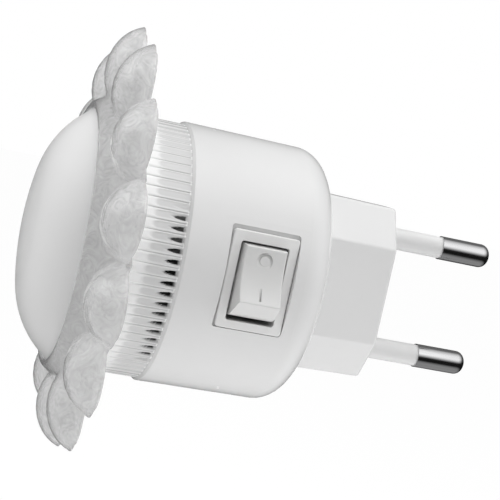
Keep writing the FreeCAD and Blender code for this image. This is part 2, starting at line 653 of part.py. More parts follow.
def board_screws():
    screws = []
    for angle in POST_ANGLES:
        x, z = on_circle(POST_CIRCLE, angle)
        head = round_bar(SCREW_HEAD_DIAMETER / 2, BOARD_FRONT - SCREW_HEAD_HEIGHT, BOARD_FRONT, x, z)
        top = BOARD_FRONT - SCREW_HEAD_HEIGHT
        crown = [e for e in head.Edges if abs(e.BoundBox.YMax - top) < SMALL]
        head = head.makeFillet(SCREW_HEAD_ROUND, crown)
        slot = block_at(SCREW_SLOT_LENGTH, SCREW_HEAD_HEIGHT, SCREW_SLOT_WIDTH, x, top, z)
        cross = turned(slot, vec(x, 0, z), AXIS_Y, 90)
        shank = round_bar(SCREW_DIAMETER / 2, BOARD_FRONT, BOARD_BACK + SCREW_LENGTH - SCREW_TIP_GAP, x, z)
        screws.append(head.cut([slot, cross]).fuse(shank).removeSplitter())
    return Part.makeCompound(screws)


def leds():
    bodies = []
    for index in range(LED_COUNT):
        x, z = on_circle(LED_CIRCLE, LED_START_ANGLE + index * 360.0 / LED_COUNT)
        flange = round_bar(LED_FLANGE_DIAMETER / 2, BOARD_FRONT - LED_FLANGE_HEIGHT, BOARD_FRONT, x, z)
        body = round_bar(LED_DIAMETER / 2, BOARD_FRONT - LED_BODY_HEIGHT, BOARD_FRONT, x, z)
        lens = Part.makeSphere(LED_DIAMETER / 2, vec(x, BOARD_FRONT - LED_BODY_HEIGHT, z))
        bodies.append(flange.fuse([body, lens]).removeSplitter())
    return Part.makeCompound(bodies)


def film_capacitor():
    x, z = FILM_CAPACITOR_PLACE
    size_x, height, size_z = FILM_CAPACITOR
    case = block_at(size_x, height, size_z, x, BOARD_BACK + height / 2, z)
    return case.makeFillet(FILM_CAPACITOR_ROUND, case.Edges)


def can_capacitor():
    x, z = CAN_PLACE
    can = round_bar(CAN_DIAMETER / 2, BOARD_BACK, BOARD_BACK + CAN_HEIGHT, x, z)
    rims = [e for e in can.Edges if e.Length > CAN_DIAMETER and len(e.Vertexes) == 1]
    return can.makeFillet(CAN_ROUND, rims)


def rectifier():
    size_x, height, size_z = RECTIFIER
    x = TERMINAL_END - RECTIFIER_FROM_TERMINAL
    body = block_at(size_x, height, size_z, x, BOARD_BACK + height / 2, 0)
    long_edges = [e for e in body.Edges if abs(e.tangentAt(e.FirstParameter).y) > 0.99]
    return body.makeChamfer(RECTIFIER_CHAMFER, long_edges)


def resistor(place):
    x, z = place
    centre_y = BOARD_BACK + RESISTOR_STAND_OFF + RESISTOR_DIAMETER / 2
    start = vec(x - RESISTOR_LENGTH / 2, centre_y, z)
    body = Part.makeCylinder(RESISTOR_DIAMETER / 2, RESISTOR_LENGTH, start, AXIS_X)
    body = body.makeFillet(RESISTOR_ROUND, [e for e in body.Edges if len(e.Vertexes) == 1])
    solids = [body]
    lead = RESISTOR_LEAD_DIAMETER / 2
    reach = RESISTOR_LENGTH / 2 + RESISTOR_LEAD_REACH
    for side in (1, -1):
        end = x + side * reach
        solids.append(Part.makeCylinder(lead, reach, vec(min(end, x), centre_y, z), AXIS_X))
        solids.append(Part.makeSphere(lead, vec(end, centre_y, z)))
        solids.append(round_bar(lead, BOARD_BACK, centre_y, end, z))
    return solids[0].fuse(solids[1:]).removeSplitter()


def wire_tube(name, points):
    """A round wire along straight runs that are joined by tangent arcs."""
    places = [vec(*p) for p in points]
    edges = []
    start = places[0]
    for before, corner, after in zip(places, places[1:], places[2:]):
        back = (before - corner).normalize()
        forth = (after - corner).normalize()
        half_turn = (math.pi - back.getAngle(forth)) / 2
        shorter = min((before - corner).Length, (after - corner).Length)
        trim = WIRE_BEND_SHARE * shorter
        radius = trim / math.tan(half_turn)
        print(name, "bend radius", round(radius, 2))
        first = corner + back * trim
        last = corner + forth * trim
        inward = (back + forth).normalize()
        middle = corner + inward * (radius / math.cos(half_turn) - radius)
        edges.append(Part.LineSegment(start, first).toShape())
        edges.append(Part.Arc(first, middle, last).toShape())
        start = last
    edges.append(Part.LineSegment(start, places[-1]).toShape())
    path = Part.Wire(edges)
    heading = places[1] - places[0]
    section = Part.Wire(Part.makeCircle(WIRE_DIAMETER / 2, places[0], heading))
    tube = path.makePipeShell([section], True, False)
    full = path.Length * math.pi * WIRE_DIAMETER ** 2 / 4
    print(name, "length", round(path.Length, 2), "fill", round(tube.Volume / full, 4))
    return tube


def shifted(place, bends):
    """Bends as places, from their distances to one place."""
    return [tuple(a + b for a, b in zip(place, bend)) for bend in bends]


def wires():
    live_pin = (0, PIN_END, PIN_SPACING / 2)
    live_terminal = (TERMINAL_END, SWITCH_Y, END_CONTACT_OFFSET)
    live = [live_pin] + shifted(live_pin, LIVE_WIRE_PIN_BENDS)
    live += shifted(live_terminal, LIVE_WIRE_TERMINAL_BENDS) + [live_terminal]
    switched = with_board_end((TERMINAL_END, SWITCH_Y, 0), SWITCH_WIRE_BENDS)
    neutral = with_board_end((0, PIN_END, -PIN_SPACING / 2), NEUTRAL_WIRE_BENDS)
    return {"live_wire": live, "switch_wire": switched, "neutral_wire": neutral}


def with_board_end(place, bends):
    """A wire's places from where it is soldered, over its bends, straight on to the board."""
    places = [place] + shifted(place, bends)
    return places + [(places[-1][0], BOARD_BACK, places[-1][2])]


def main():
    os.makedirs("parts", exist_ok=True)
    save("drum_housing", drum_housing())
    save("flower_shade", flower_shade())
    save("opal_dome", opal_dome())
    for name, side in (("live", 1), ("neutral", -1)):
        save(name + "_pin", contact_pin(side))
        save(name + "_pin_sleeve", pin_sleeve(side))
    save("switch_body", switch_body())
    save("switch_rocker", at_rest(level_rocker()))
    save("rocker_plunger", at_rest(level_plunger()))
    save("plunger_spring", at_rest(level_spring()))
    save("contact_lever", contact_lever())
    save("centre_terminal", centre_terminal())
    save("end_terminal", end_terminal())
    save("led_board", led_board())
    save("board_screws", board_screws())
    save("leds", leds())
    save("dropper_capacitor", film_capacitor())
    save("smoothing_capacitor", can_capacitor())
    save("bridge_rectifier", rectifier())
    save("bleed_resistor", resistor(BLEED_RESISTOR_PLACE))
    save("series_resistor", resistor(SERIES_RESISTOR_PLACE))
    for name, points in wires().items():
        save(name, wire_tube(name, points))


main()
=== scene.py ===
import math

import bpy
from mathutils import Matrix, Vector


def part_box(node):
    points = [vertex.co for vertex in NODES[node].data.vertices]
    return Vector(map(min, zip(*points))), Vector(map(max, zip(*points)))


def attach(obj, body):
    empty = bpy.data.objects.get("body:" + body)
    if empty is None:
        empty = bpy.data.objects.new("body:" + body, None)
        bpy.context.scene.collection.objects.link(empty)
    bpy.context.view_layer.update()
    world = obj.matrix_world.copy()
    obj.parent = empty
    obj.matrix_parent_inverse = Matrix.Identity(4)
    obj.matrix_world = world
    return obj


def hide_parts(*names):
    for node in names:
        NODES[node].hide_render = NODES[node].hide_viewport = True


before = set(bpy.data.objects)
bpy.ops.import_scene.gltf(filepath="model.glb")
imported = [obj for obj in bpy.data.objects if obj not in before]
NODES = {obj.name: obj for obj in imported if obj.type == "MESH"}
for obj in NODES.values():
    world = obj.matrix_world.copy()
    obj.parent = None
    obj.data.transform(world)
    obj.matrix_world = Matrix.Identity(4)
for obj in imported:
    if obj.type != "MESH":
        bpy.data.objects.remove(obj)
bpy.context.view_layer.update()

bl_info = {
    "name": "Plug-in night light",
    "version": (1, 0, 0),
    "blender": (4, 5, 0),
    "location": "View3D > Sidebar > Night light",
    "description": "Dresses the packed night light: clear flower shade, fluted skirt, "
                   "opal dome, finishes and studio",
    "category": "Object",
}

MM = 0.001
HOME = "housing"

SHADE_LOW, SHADE_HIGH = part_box("flower_shade")
DOME_LOW, DOME_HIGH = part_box("opal_dome")
TIP_RADIUS = SHADE_HIGH[2]
SHADE_FRONT = SHADE_LOW[1]
SPIGOT = 4.0 * MM
SEAM = SHADE_HIGH[1] - SPIGOT
DOME_RADIUS = DOME_HIGH[2]
DOME_SEAT = DOME_HIGH[1]
DOME_APEX = DOME_LOW[1]

# Rows and columns of the grids for one petal and one flute.
PETAL_ROWS = 60
PETAL_COLUMNS = 44
FLUTE_ROWS = 28
FLUTE_COLUMNS = 18

# The lip round the dome and the band that falls back from it.
LIP_CLEARANCE = 0.13 * MM
LIP_ROUND = 0.2 * MM
LIP_FLAT = 0.75 * MM
LIP_WIDTH = 1.0 * MM
LIP_DROP = 0.12 * MM
BAND_START = 1.1 * MM
CREASE_ROUND = 0.5 * MM

# How the rows of a petal crowd together towards its edge, and the rings moulded round it:
# where they are centred, in shares along the petal and up its rise, and how they fade in.
FAN_CROWDING = 0.9
RING_ALONG = 0.82
RING_RISE = 0.57
RING_START = 0.35
RING_FADE = 0.3
RING_EDGE_FADE = 2.0

# The clear band behind the petals, measured from the plane of their edges.
BAND_ROOT = 1.2 * MM
BAND_BACK = 1.3 * MM
BAND_CORNER = 0.4 * MM
BAND_FRONT = 0.5 * MM
BAND_INNER = 3.6 * MM

# A flute's hollow and slot: across as shares of its half width, along as shares of its length.
FLUTE_CROWDING = 1.25
HOLLOW_LENGTH = 0.66
HOLLOW_ROUND = 0.12
HOLLOW_HALF_WIDTH = 0.75
HOLLOW_SIDE = (0.50, 0.80)
HOLLOW_END = 0.04
SLOT_TAPER = (0.10, 0.36)
SLOT_HALF_WIDTH = 0.34
SLOT_SIDE = 0.16
SLOT_START = (0.02, 0.05)
SLOT_BLUNTNESS = 3
VEE_SHARPNESS = 6

# The stretch of slots with painted black floors fades out between these angles below and above the
# switch's middle.
SLOTS_BELOW = (-1.02, -0.55)
SLOTS_ABOVE = (0.22, 0.50)

# How light the skirt is painted in its several places, 1 for white: painted shade greys it towards
# the seam, in the hollows and in the vees, and paints the slots' floors black.
BACK_TONE = 0.86
PETAL_SIDE_TONE = 0.95
SEAM_SIDE_SHADE_TONE = 0.80
HOLLOW_SHADE_TONE = 0.68
HOLLOW_SHADE_SHARE = 0.8
VEE_SHADOW_TONE = 0.50
SLOT_SHADOW_TONE = 0.01
TONE_CHANGE = (0.40, 0.80)
VEE_SIDE = (0.86, 1.0)
VEE_END = (0.5, 0.9)
RIM_LENGTH = 0.03
RIM_SIDE = 0.6
RIM_TONE = 1.0

# How far down a slot its painted black floor begins, and how that differs from flute to flute.
DARK_FROM = 1.02
DARK_SHARE = 0.36
DARK_SPREAD = 0.14
DARK_CHANGE = 2.4
DARK_EDGE = 0.15

# The dome's two arcs, its rim and its wall.
DOME_CROWN_RADIUS = 54.8 * MM
DOME_SHOULDER_RADIUS = 16.0 * MM
DOME_RIM = 1.7 * MM
DOME_WALL = 1.4 * MM
DOME_ARC_STEPS = 16
DOME_TURN_STEPS = 128

# Corners closer than this are one, where sectors meet and where a spin closes.
SECTOR_MERGE = 0.004 * MM
SPIN_MERGE = 0.01 * MM

# Sizes of the noise in moulded plastic, in patterns per metre, and how much its flow darkens.
FLOW_SCALE = 90.0
POLISH_SCALE = 400.0
SKIN_SCALE = 2500.0
FLOW_SHADE = 0.03

BEZEL_WHITE = [0.88, 0.88, 0.875]
SLEEVE_WHITE = [0.75, 0.75, 0.75]
BRASS = [0.72, 0.55, 0.27]
STEEL = [0.5, 0.5, 0.51]
ZINC = [0.62, 0.62, 0.6]

# Node, material, colour and roughness of the pieces inside.
PLAIN_FINISHES = (
    ("rocker_plunger", "natural_nylon", [0.74, 0.72, 0.66], 0.45),
    ("led_board", "white_mask", [0.80, 0.81, 0.79], 0.40),
    ("leds", "milky_epoxy", [0.84, 0.82, 0.70], 0.20),
    ("dropper_capacitor", "red_dip", [0.55, 0.10, 0.06], 0.35),
    ("smoothing_capacitor", "dark_sleeve", [0.05, 0.05, 0.07], 0.30),
    ("bridge_rectifier", "black_mould", [0.04, 0.04, 0.04], 0.50),
    ("bleed_resistor", "tan_lacquer", [0.52, 0.42, 0.27], 0.40),
    ("series_resistor", "blue_lacquer", [0.20, 0.32, 0.42], 0.40),
    ("live_wire", "brown_cover", [0.24, 0.11, 0.05], 0.35),
    ("switch_wire", "black_cover", [0.04, 0.04, 0.04], 0.35),
    ("neutral_wire", "blue_cover", [0.05, 0.14, 0.40], 0.35),
)

WHITE = (1.0, 1.0, 1.0, 1.0)
FLOOR_SIZE = 6.0
FLOOR_GREY = (0.82, 0.82, 0.82, 1.0)
FLOOR_GLOW = 1.03
FLOOR_GLOW_SHARE = 0.93
SENSOR_WIDTH = 36.0
CLIP_NEAR = 0.01
CLIP_FAR = 20.0
SOFT_BOX_WAY = (0.716, 0.197, 0.669)

# Name, place, aim and width of each lamp, and the setting that holds its power.
LAMPS = (
    ("top_lamp", (0.02, 0.04, 0.40), (0, -0.02, 0), 0.40, "top_light"),
    ("back_lamp", (0.14, 0.34, 0.10), (0, -0.02, 0), 0.25, "back_light"),
    ("front_lamp", (-0.15, -0.40, 0.20), (0, -0.05, 0), 0.30, "front_light"),
    ("low_lamp", (0.04, 0.02, -0.13), (0, -0.02, 0), 0.20, "low_light"),
)


class ShadeSizes(bpy.types.PropertyGroup):
    """Sizes of the clear flower shade and its fluted skirt."""

    petal_count: bpy.props.IntProperty(
        name="Petals", description="How many petals stand round the dome",
        default=14, min=6)
    petal_centre: bpy.props.FloatProperty(
        name="Petal centre", description="Radius at which a petal's scoop is centred",
        default=27.0 * MM, unit="LENGTH", precision=5)
    petal_roundness: bpy.props.FloatProperty(
        name="Petal roundness", description="Radius of a petal's scoop across its width",
        default=6.5 * MM, unit="LENGTH", precision=5)
    petal_sink: bpy.props.FloatProperty(
        name="Petal sink",
        description="How far the scoop's centre lies behind the petals' edge plane",
        default=1.8 * MM, unit="LENGTH", precision=5)
    petal_wall: bpy.props.FloatProperty(
        name="Petal wall", description="Thickness of the clear wall",
        default=1.2 * MM, unit="LENGTH", precision=5)
    petal_plane: bpy.props.FloatProperty(
        name="Edge plane", description="Distance from the drum's seam to the petals' edges",
        default=9.2 * MM, unit="LENGTH", precision=5)
    ripple_height: bpy.props.FloatProperty(
        name="Ripple height", description="Height of the rings moulded round each petal",
        default=0.022 * MM, unit="LENGTH", precision=6)
    ripple_pitch: bpy.props.FloatProperty(
        name="Ripple pitch", description="Distance from ring to ring",
        default=1.25 * MM, unit="LENGTH", precision=5)
    band_radius: bpy.props.FloatProperty(
        name="Band radius", description="Outer radius of the plain clear band round the dome",
        default=24.8 * MM, unit="LENGTH", precision=5)
    band_slope: bpy.props.FloatProperty(
        name="Band slope", description="How far the band falls back from its lip",
        default=4.3 * MM, unit="LENGTH", precision=5)
    skirt_radius: bpy.props.FloatProperty(
        name="Skirt radius", description="Outer radius of the fluted skirt",
        default=20.8 * MM, unit="LENGTH", precision=5)
    flute_count: bpy.props.IntProperty(
        name="Flutes", description="How many flutes run round the skirt",
        default=78, min=24)
    skirt_wall: bpy.props.FloatProperty(
        name="Skirt wall", description="Thickness of the skirt's wall",
        default=0.95 * MM, unit="LENGTH", precision=5)
    vee_depth: bpy.props.FloatProperty(
        name="Vee depth", description="Depth of the fine vees between the flutes",
        default=0.14 * MM, unit="LENGTH", precision=5)
    flute_depth: bpy.props.FloatProperty(
        name="Flute depth", description="Depth of a flute's round-ended hollow",
        default=0.10 * MM, unit="LENGTH", precision=5)
    slot_depth: bpy.props.FloatProperty(
        name="Slot depth", description="Depth of the dark slot at a flute's seam end",
        default=0.60 * MM, unit="LENGTH", precision=5)


class FinishColours(bpy.types.PropertyGroup):
    """Colours of the visible finishes."""

    housing: bpy.props.FloatVectorProperty(
        name="Housing", description="White of the moulded drum and plug block",
        subtype="COLOR", default=(0.80, 0.80, 0.80))
    rocker: bpy.props.FloatVectorProperty(
        name="Switch", description="White of the switch",
        subtype="COLOR", default=(0.74, 0.74, 0.735))
    clear: bpy.props.FloatVectorProperty(
        name="Clear shade", description="Tint of the clear plastic",
        subtype="COLOR", default=(0.92, 0.92, 0.92))
    opal: bpy.props.FloatVectorProperty(
        name="Opal dome", description="White of the diffuser",
        subtype="COLOR", default=(0.78, 0.78, 0.78))
    plate: bpy.props.FloatVectorProperty(
        name="Pins", description="Colour of the plated metal",
        subtype="COLOR", default=(0.80, 0.80, 0.81))


class StudioSettings(bpy.types.PropertyGroup):
    """Camera and lamps."""

    azimuth: bpy.props.FloatProperty(
        name="Azimuth",
        description="Direction of the camera round the lamp, 0 in front of the dome",
        default=math.radians(74.64), subtype="ANGLE")
    elevation: bpy.props.FloatProperty(
        name="Elevation", description="Height of the camera above the horizon",
        default=math.radians(4.92), subtype="ANGLE")
    roll: bpy.props.FloatProperty(
        name="Roll", description="Turn of the camera about its own axis",
        default=math.radians(12.39), subtype="ANGLE")
    place: bpy.props.FloatVectorProperty(
        name="Place", description="Where the camera stands",
        default=(0.21075, -0.08050, 0.02170), unit="LENGTH", precision=5)
    lens: bpy.props.FloatProperty(
        name="Lens", description="Focal length in millimetres on a 36 mm sensor",
        default=95.9)
    floor_depth: bpy.props.FloatProperty(
        name="Floor depth", description="How far the floor lies below the plug",
        default=0.14, unit="LENGTH")
    surround: bpy.props.FloatProperty(
        name="Surround light", description="Strength of the even light from all round",
        default=0.50)
    top_light: bpy.props.FloatProperty(
        name="Top light", description="Power of the large lamp above, in watts",
        default=1.15)
    back_light: bpy.props.FloatProperty(
        name="Back light", description="Power of the lamp behind the pins, in watts",
        default=0.32)
    front_light: bpy.props.FloatProperty(
        name="Front light", description="Power of the lamp that faces the dome, in watts",
        default=1.10)
    low_light: bpy.props.FloatProperty(
        name="Low light", description="Power of the large lamp below, in watts",
        default=0.10)


def shade_sizes():
    return bpy.context.scene.night_light_shade


def finish_colours():
    return bpy.context.scene.night_light_finish


def studio_settings():
    return bpy.context.scene.night_light_studio


def clear_selection():
    if bpy.context.object and bpy.context.object.mode != "OBJECT":
        bpy.ops.object.mode_set(mode="OBJECT")
    bpy.ops.object.select_all(action="DESELECT")


def make_active(piece):
    clear_selection()
    piece.select_set(True)
    bpy.context.view_layer.objects.active = piece


def settle(piece, body, material, replaced):
    """Puts a finished piece's place into its mesh, gives it its finish and ties it to its body."""
    make_active(piece)
    bpy.ops.object.transform_apply(location=True, rotation=True, scale=True)
    piece.data.materials.clear()
    piece.data.materials.append(material)
    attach(piece, body)
    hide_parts(*replaced)
    clear_selection()


def apply_modifiers(piece):
    make_active(piece)
    for modifier in list(piece.modifiers):
        bpy.ops.object.modifier_apply(modifier=modifier.name)


def smooth_by_angle(piece, degrees):
    make_active(piece)
    bpy.ops.object.shade_smooth_by_angle(angle=math.radians(degrees))


def add_wall(piece, thickness):
    """Turns a surface into a wall that lies behind it."""
    wall = piece.modifiers.new("wall", "SOLIDIFY")
    wall.thickness = thickness
    wall.offset = -1
    apply_modifiers(piece)


def forward_share(piece):
    """How far a mesh's faces look towards the front on the whole."""
    front = Vector((0, -1, 0))
    return sum(face.normal.dot(front) * face.area for face in piece.data.polygons)


def outward_share(piece):
    """How far a mesh's faces look away from the Y axis on the whole."""
    total = 0.0
    for face in piece.data.polygons:
        total += face.normal.dot(Vector((face.center.x, 0, face.center.z))) * face.area
    return total


def turn_faces_out(piece, share):
    """Flips every face when they look the wrong way on the whole."""
    if share < 0:
        make_active(piece)
        bpy.ops.object.mode_set(mode="EDIT")
        bpy.ops.mesh.select_all(action="SELECT")
        bpy.ops.mesh.flip_normals()
        bpy.ops.object.mode_set(mode="OBJECT")


def grid_piece(name, columns, rows):
    """A flat grid whose corners are then laid on a surface: columns across, rows outwards."""
    clear_selection()
    bpy.ops.mesh.primitive_grid_add(x_subdivisions=columns, y_subdivisions=rows, size=2.0)
    piece = bpy.context.object
    piece.name = name
    return piece


def lay_on(piece, surface):
    """Moves each corner of a grid to where surface(across, outwards) says, both from 0 to 1."""
    for vertex in piece.data.vertices:
        across = (vertex.co.x + 1) / 2
        outwards = (vertex.co.y + 1) / 2
        vertex.co = surface(across, outwards)


def repeat_round(piece, count):
    """Repeats a sector's mesh round the Y axis and joins the copies along their edges."""
    make_active(piece)
    step = 2 * math.pi / count
    bpy.ops.object.mode_set(mode="EDIT")
    done = 1
    bpy.ops.mesh.select_all(action="SELECT")
    while done < count:
        extra = min(done, count - done)
        if extra < done:
            keep_sectors(piece, extra, done)
        bpy.ops.mesh.duplicate()
        turn = Matrix.Rotation(step * done, 4, "Y")
        turn_selected(piece, turn)
        bpy.ops.mesh.select_all(action="SELECT")
        done += extra
    bpy.ops.mesh.remove_doubles(threshold=SECTOR_MERGE)
    bpy.ops.object.mode_set(mode="OBJECT")


def keep_sectors(piece, wanted, present):
    """Leaves only the faces of the first sectors selected."""
    bpy.ops.object.mode_set(mode="OBJECT")
    faces = piece.data.polygons
    share = len(faces) // present
    for vertex in piece.data.vertices:
        vertex.select = False
    for edge in piece.data.edges:
        edge.select = False
    for face in faces:
        face.select = face.index < share * wanted
    bpy.ops.object.mode_set(mode="EDIT")


def turn_selected(piece, turn):
    bpy.ops.object.mode_set(mode="OBJECT")
    for vertex in piece.data.vertices:
        if vertex.select:
            vertex.co = turn @ vertex.co
    bpy.ops.object.mode_set(mode="EDIT")


def soft_min(a, b, blend):
    """The smaller of two values, with the corner between them rounded."""
    gap = max(blend - abs(a - b), 0.0) / blend
    return min(a, b) - gap * gap * blend / 4


def petal_plane():
    """Y of the plane in which the petals' edges lie."""
    return SEAM - shade_sizes().petal_plane


def scoop_reach():
    """What share of the scoop's size its edge has, and the scoop's half length."""
    sizes = shade_sizes()
    edge_share = math.sqrt(1 - (sizes.petal_sink / sizes.petal_roundness) ** 2)
    return edge_share, (TIP_RADIUS - sizes.petal_centre) / edge_share


def petal_edge(angle):
    """Radius of the petal's outline at an angle from the petal's middle."""
    sizes = shade_sizes()
    edge_share, reach = scoop_reach()
    long_half = reach * edge_share
    wide_half = sizes.petal_roundness * edge_share
    cos_a, sin_a = math.cos(angle), math.sin(angle)
    a = (cos_a / long_half) ** 2 + (sin_a / wide_half) ** 2
    b = -2 * sizes.petal_centre * cos_a / long_half ** 2
    c = (sizes.petal_centre / long_half) ** 2 - 1
    return (-b + math.sqrt(max(b * b - 4 * a * c, 0.0))) / (2 * a)


def petal_height(radius, angle):
    """Y of the front surface: the scoop or the band, whichever stands further forward."""
    sizes = shade_sizes()
    edge_plane = petal_plane()
    reach = scoop_reach()[1]
    along = radius * math.cos(angle) - sizes.petal_centre
    across = radius * math.sin(angle)
    inside = 1 - (along / reach) ** 2 - (across / sizes.petal_roundness) ** 2
    scoop = edge_plane
    ripple = 0.0
    if inside > 0:
        rise = math.sqrt(inside)
        scoop = min(edge_plane, edge_plane + sizes.petal_sink - sizes.petal_roundness * rise)
        facing = RING_ALONG * along / reach + RING_RISE * rise
        turn = math.acos(max(-1.0, min(1.0, facing)))
        phase = 2 * math.pi * turn * sizes.petal_roundness / sizes.ripple_pitch
        fade = min(max((turn - RING_START) / RING_FADE, 0.0), 1.0)
        fade *= min(rise * RING_EDGE_FADE, 1.0)
        ripple = sizes.ripple_height * math.sin(phase) * fade
    lip_radius = DOME_RADIUS + BAND_START
    outwards = (radius - lip_radius) / (sizes.band_radius - lip_radius)
    band = SHADE_FRONT + outwards * sizes.band_slope
    return soft_min(scoop + ripple, min(band, edge_plane), CREASE_ROUND)


def petal_surface(across, outwards):
    """A point of one petal's sector: the lip round the dome, then the fan out to the edge."""
    sizes = shade_sizes()
    half = math.pi / sizes.petal_count
    angle = (across * 2 - 1) * half
    bore = DOME_RADIUS + LIP_CLEARANCE
    lip = [
        (bore, DOME_SEAT),
        (bore, SHADE_FRONT + LIP_ROUND),
        (bore + LIP_ROUND, SHADE_FRONT),
        (bore + LIP_FLAT, SHADE_FRONT),
        (bore + LIP_WIDTH, SHADE_FRONT + LIP_DROP),
    ]
    row = round(outwards * PETAL_ROWS)
    if row < len(lip):
        radius, y = lip[row]
    else:
        share = (row - len(lip) + 1) / (PETAL_ROWS - len(lip) + 1)
        start = lip[-1][0]
        share = math.sin(share * math.pi / 2) ** FAN_CROWDING
        edge = petal_edge(angle)
        radius = start + (edge - start) * share
        y = petal_height(radius, angle)
        if row == PETAL_ROWS:
            y = petal_plane()
    return Vector((radius * math.sin(angle), y, radius * math.cos(angle)))


class NIGHTLIGHT_OT_flower(bpy.types.Operator):
    """Models the clear flower: petals, band and lip as one rippled wall"""

    bl_idname = "night_light.flower"
    bl_label = "Flower petals"

    def execute(self, context):
        sizes = shade_sizes()
        piece = grid_piece("flower_petals", PETAL_COLUMNS, PETAL_ROWS)
        lay_on(piece, petal_surface)
        repeat_round(piece, sizes.petal_count)
        bpy.ops.object.mode_set(mode="EDIT")
        bpy.ops.mesh.select_all(action="SELECT")
        bpy.ops.mesh.normals_make_consistent(inside=False)
        bpy.ops.object.mode_set(mode="OBJECT")
        turn_faces_out(piece, forward_share(piece))
        add_wall(piece, sizes.petal_wall)
        smooth_by_angle(piece, 40)
        settle(piece, HOME, clear_plastic(), ["flower_shade"])
        return {"FINISHED"}


def skirt_back():
    """Radius and Y of the skirt's profile behind the petals, then back along its bore."""
    sizes = shade_sizes()
    bore = sizes.skirt_radius - sizes.skirt_wall
    plane = petal_plane()
    root = sizes.band_radius - BAND_ROOT
    return [
        (sizes.skirt_radius, plane + BAND_BACK),
        (root, plane + BAND_CORNER),
        (root, plane - BAND_FRONT),
        (sizes.skirt_radius, plane - BAND_INNER),
        (bore, plane - BAND_INNER),
        (bore, SEAM),
    ]


def flute_place(row):
    """How far from the seam a row of the flutes lies, 0 to 1, closer together at the slot."""
    return (row / FLUTE_ROWS) ** FLUTE_CROWDING


def flute_surface(across, outwards):
    """A point of one flute's sector: the flute from the seam, then the plain back."""
    sizes = shade_sizes()
    half = math.pi / sizes.flute_count
    angle = (across * 2 - 1) * half
    back = skirt_back()
    row = round(outwards * (FLUTE_ROWS + len(back) + 1))
    if row <= FLUTE_ROWS:
        along = flute_place(row)
        start, end = SEAM, back[0][1]
        radius = sizes.skirt_radius - flute_sink(across, along)
        y = start + (end - start) * along
    elif row <= FLUTE_ROWS + len(back):
        radius, y = back[row - FLUTE_ROWS - 1]
    else:
        radius, y = sizes.skirt_radius - flute_sink(across, 0.0), SEAM
    return Vector((radius * math.sin(angle), y, radius * math.cos(angle)))


def smooth_step(value, low, high):
    """0 up to the low value, 1 from the high one, and a smooth rise between."""
    share = min(max((value - low) / (high - low), 0.0), 1.0)
    return share * share * (3 - 2 * share)


def mixed(a, b, share):
    """The value that lies a share of the way from a to b."""
    return a + (b - a) * share


def flute_mask(across, along):
    """1 in the flute's round-ended hollow, 0 beside it and behind the petals."""
    side = abs(across * 2 - 1)
    rounding = 1 - math.sqrt(max(1 - min(side / HOLLOW_HALF_WIDTH, 1.0) ** 2, 0.0))
    reach = HOLLOW_LENGTH - HOLLOW_ROUND * rounding
    beyond = smooth_step(along, reach - HOLLOW_END, reach + HOLLOW_END)
    return (1 - smooth_step(side, *HOLLOW_SIDE)) * (1 - beyond)


def slot_mask(across, along):
    """1 in the narrow slot at the flute's seam end, which runs out to a point."""
    side = abs(across * 2 - 1)
    taper = 1 - smooth_step(along, *SLOT_TAPER)
    width = SLOT_HALF_WIDTH * taper
    inside = 1 - smooth_step(side, width, width + SLOT_SIDE)
    return inside * smooth_step(along, *SLOT_START) * min(taper * SLOT_BLUNTNESS, 1.0)


def slot_share(angle):
    """How much of a slot is painted dark, and left open, at an angle above the switch's middle."""
    return smooth_step(angle, *SLOTS_BELOW) * (1 - smooth_step(angle, *SLOTS_ABOVE))


def flute_sink(across, along):
    """How deep the skirt's surface lies under its outer radius."""
    sizes = shade_sizes()
    vee = sizes.vee_depth * abs(across * 2 - 1) ** VEE_SHARPNESS
    hollow = sizes.flute_depth * flute_mask(across, along)
    return vee + hollow + sizes.slot_depth * slot_mask(across, along)


def painted_flute_tone(across, outwards):
    """How light the skirt is painted, with painted shade towards the seam, in the hollows and in
    the vees, and how deep in its slot.
    """
    row = round(outwards * (FLUTE_ROWS + len(skirt_back()) + 1))
    if row > FLUTE_ROWS:
        return BACK_TONE, 0.0
    along = flute_place(row)
    side = abs(across * 2 - 1)
    # Painted shade: greyer towards the seam, in the round-ended hollows and in the vees.
    tone = mixed(PETAL_SIDE_TONE, SEAM_SIDE_SHADE_TONE, 1 - smooth_step(along, *TONE_CHANGE))
    tone = mixed(tone, HOLLOW_SHADE_TONE, HOLLOW_SHADE_SHARE * flute_mask(across, along))
    in_vee = smooth_step(side, *VEE_SIDE) * (1 - smooth_step(along, *VEE_END))
    tone = mixed(tone, VEE_SHADOW_TONE, in_vee)
    if along < RIM_LENGTH and side > RIM_SIDE:
        tone = RIM_TONE
    return tone, slot_mask(across, along)


def darken_slots(piece):
    """Paints the slots' floors black as painted shade, and fills the slots towards both ends of
    the dark stretch.
    """
    sizes = shade_sizes()
    layer = piece.data.color_attributes["tone"]
    for index, vertex in enumerate(piece.data.vertices):
        tone, slot = layer.data[index].color[:2]
        angle = math.atan2(vertex.co.z, vertex.co.x)
        share = slot_share(angle)
        radius = math.hypot(vertex.co.x, vertex.co.z)
        filled = 1 + (1 - share) * slot * sizes.slot_depth / radius
        vertex.co.x *= filled
        vertex.co.z *= filled
        flute = round(angle * sizes.flute_count / (2 * math.pi) - 0.5)
        floor = DARK_FROM - share * (DARK_SHARE + DARK_SPREAD * math.sin(flute * DARK_CHANGE))
        # Painted shade: the slot's floor turns black.
        tone = mixed(tone, SLOT_SHADOW_TONE, smooth_step(slot, floor, floor + DARK_EDGE))
        layer.data[index].color = (tone, tone, tone, 1.0)


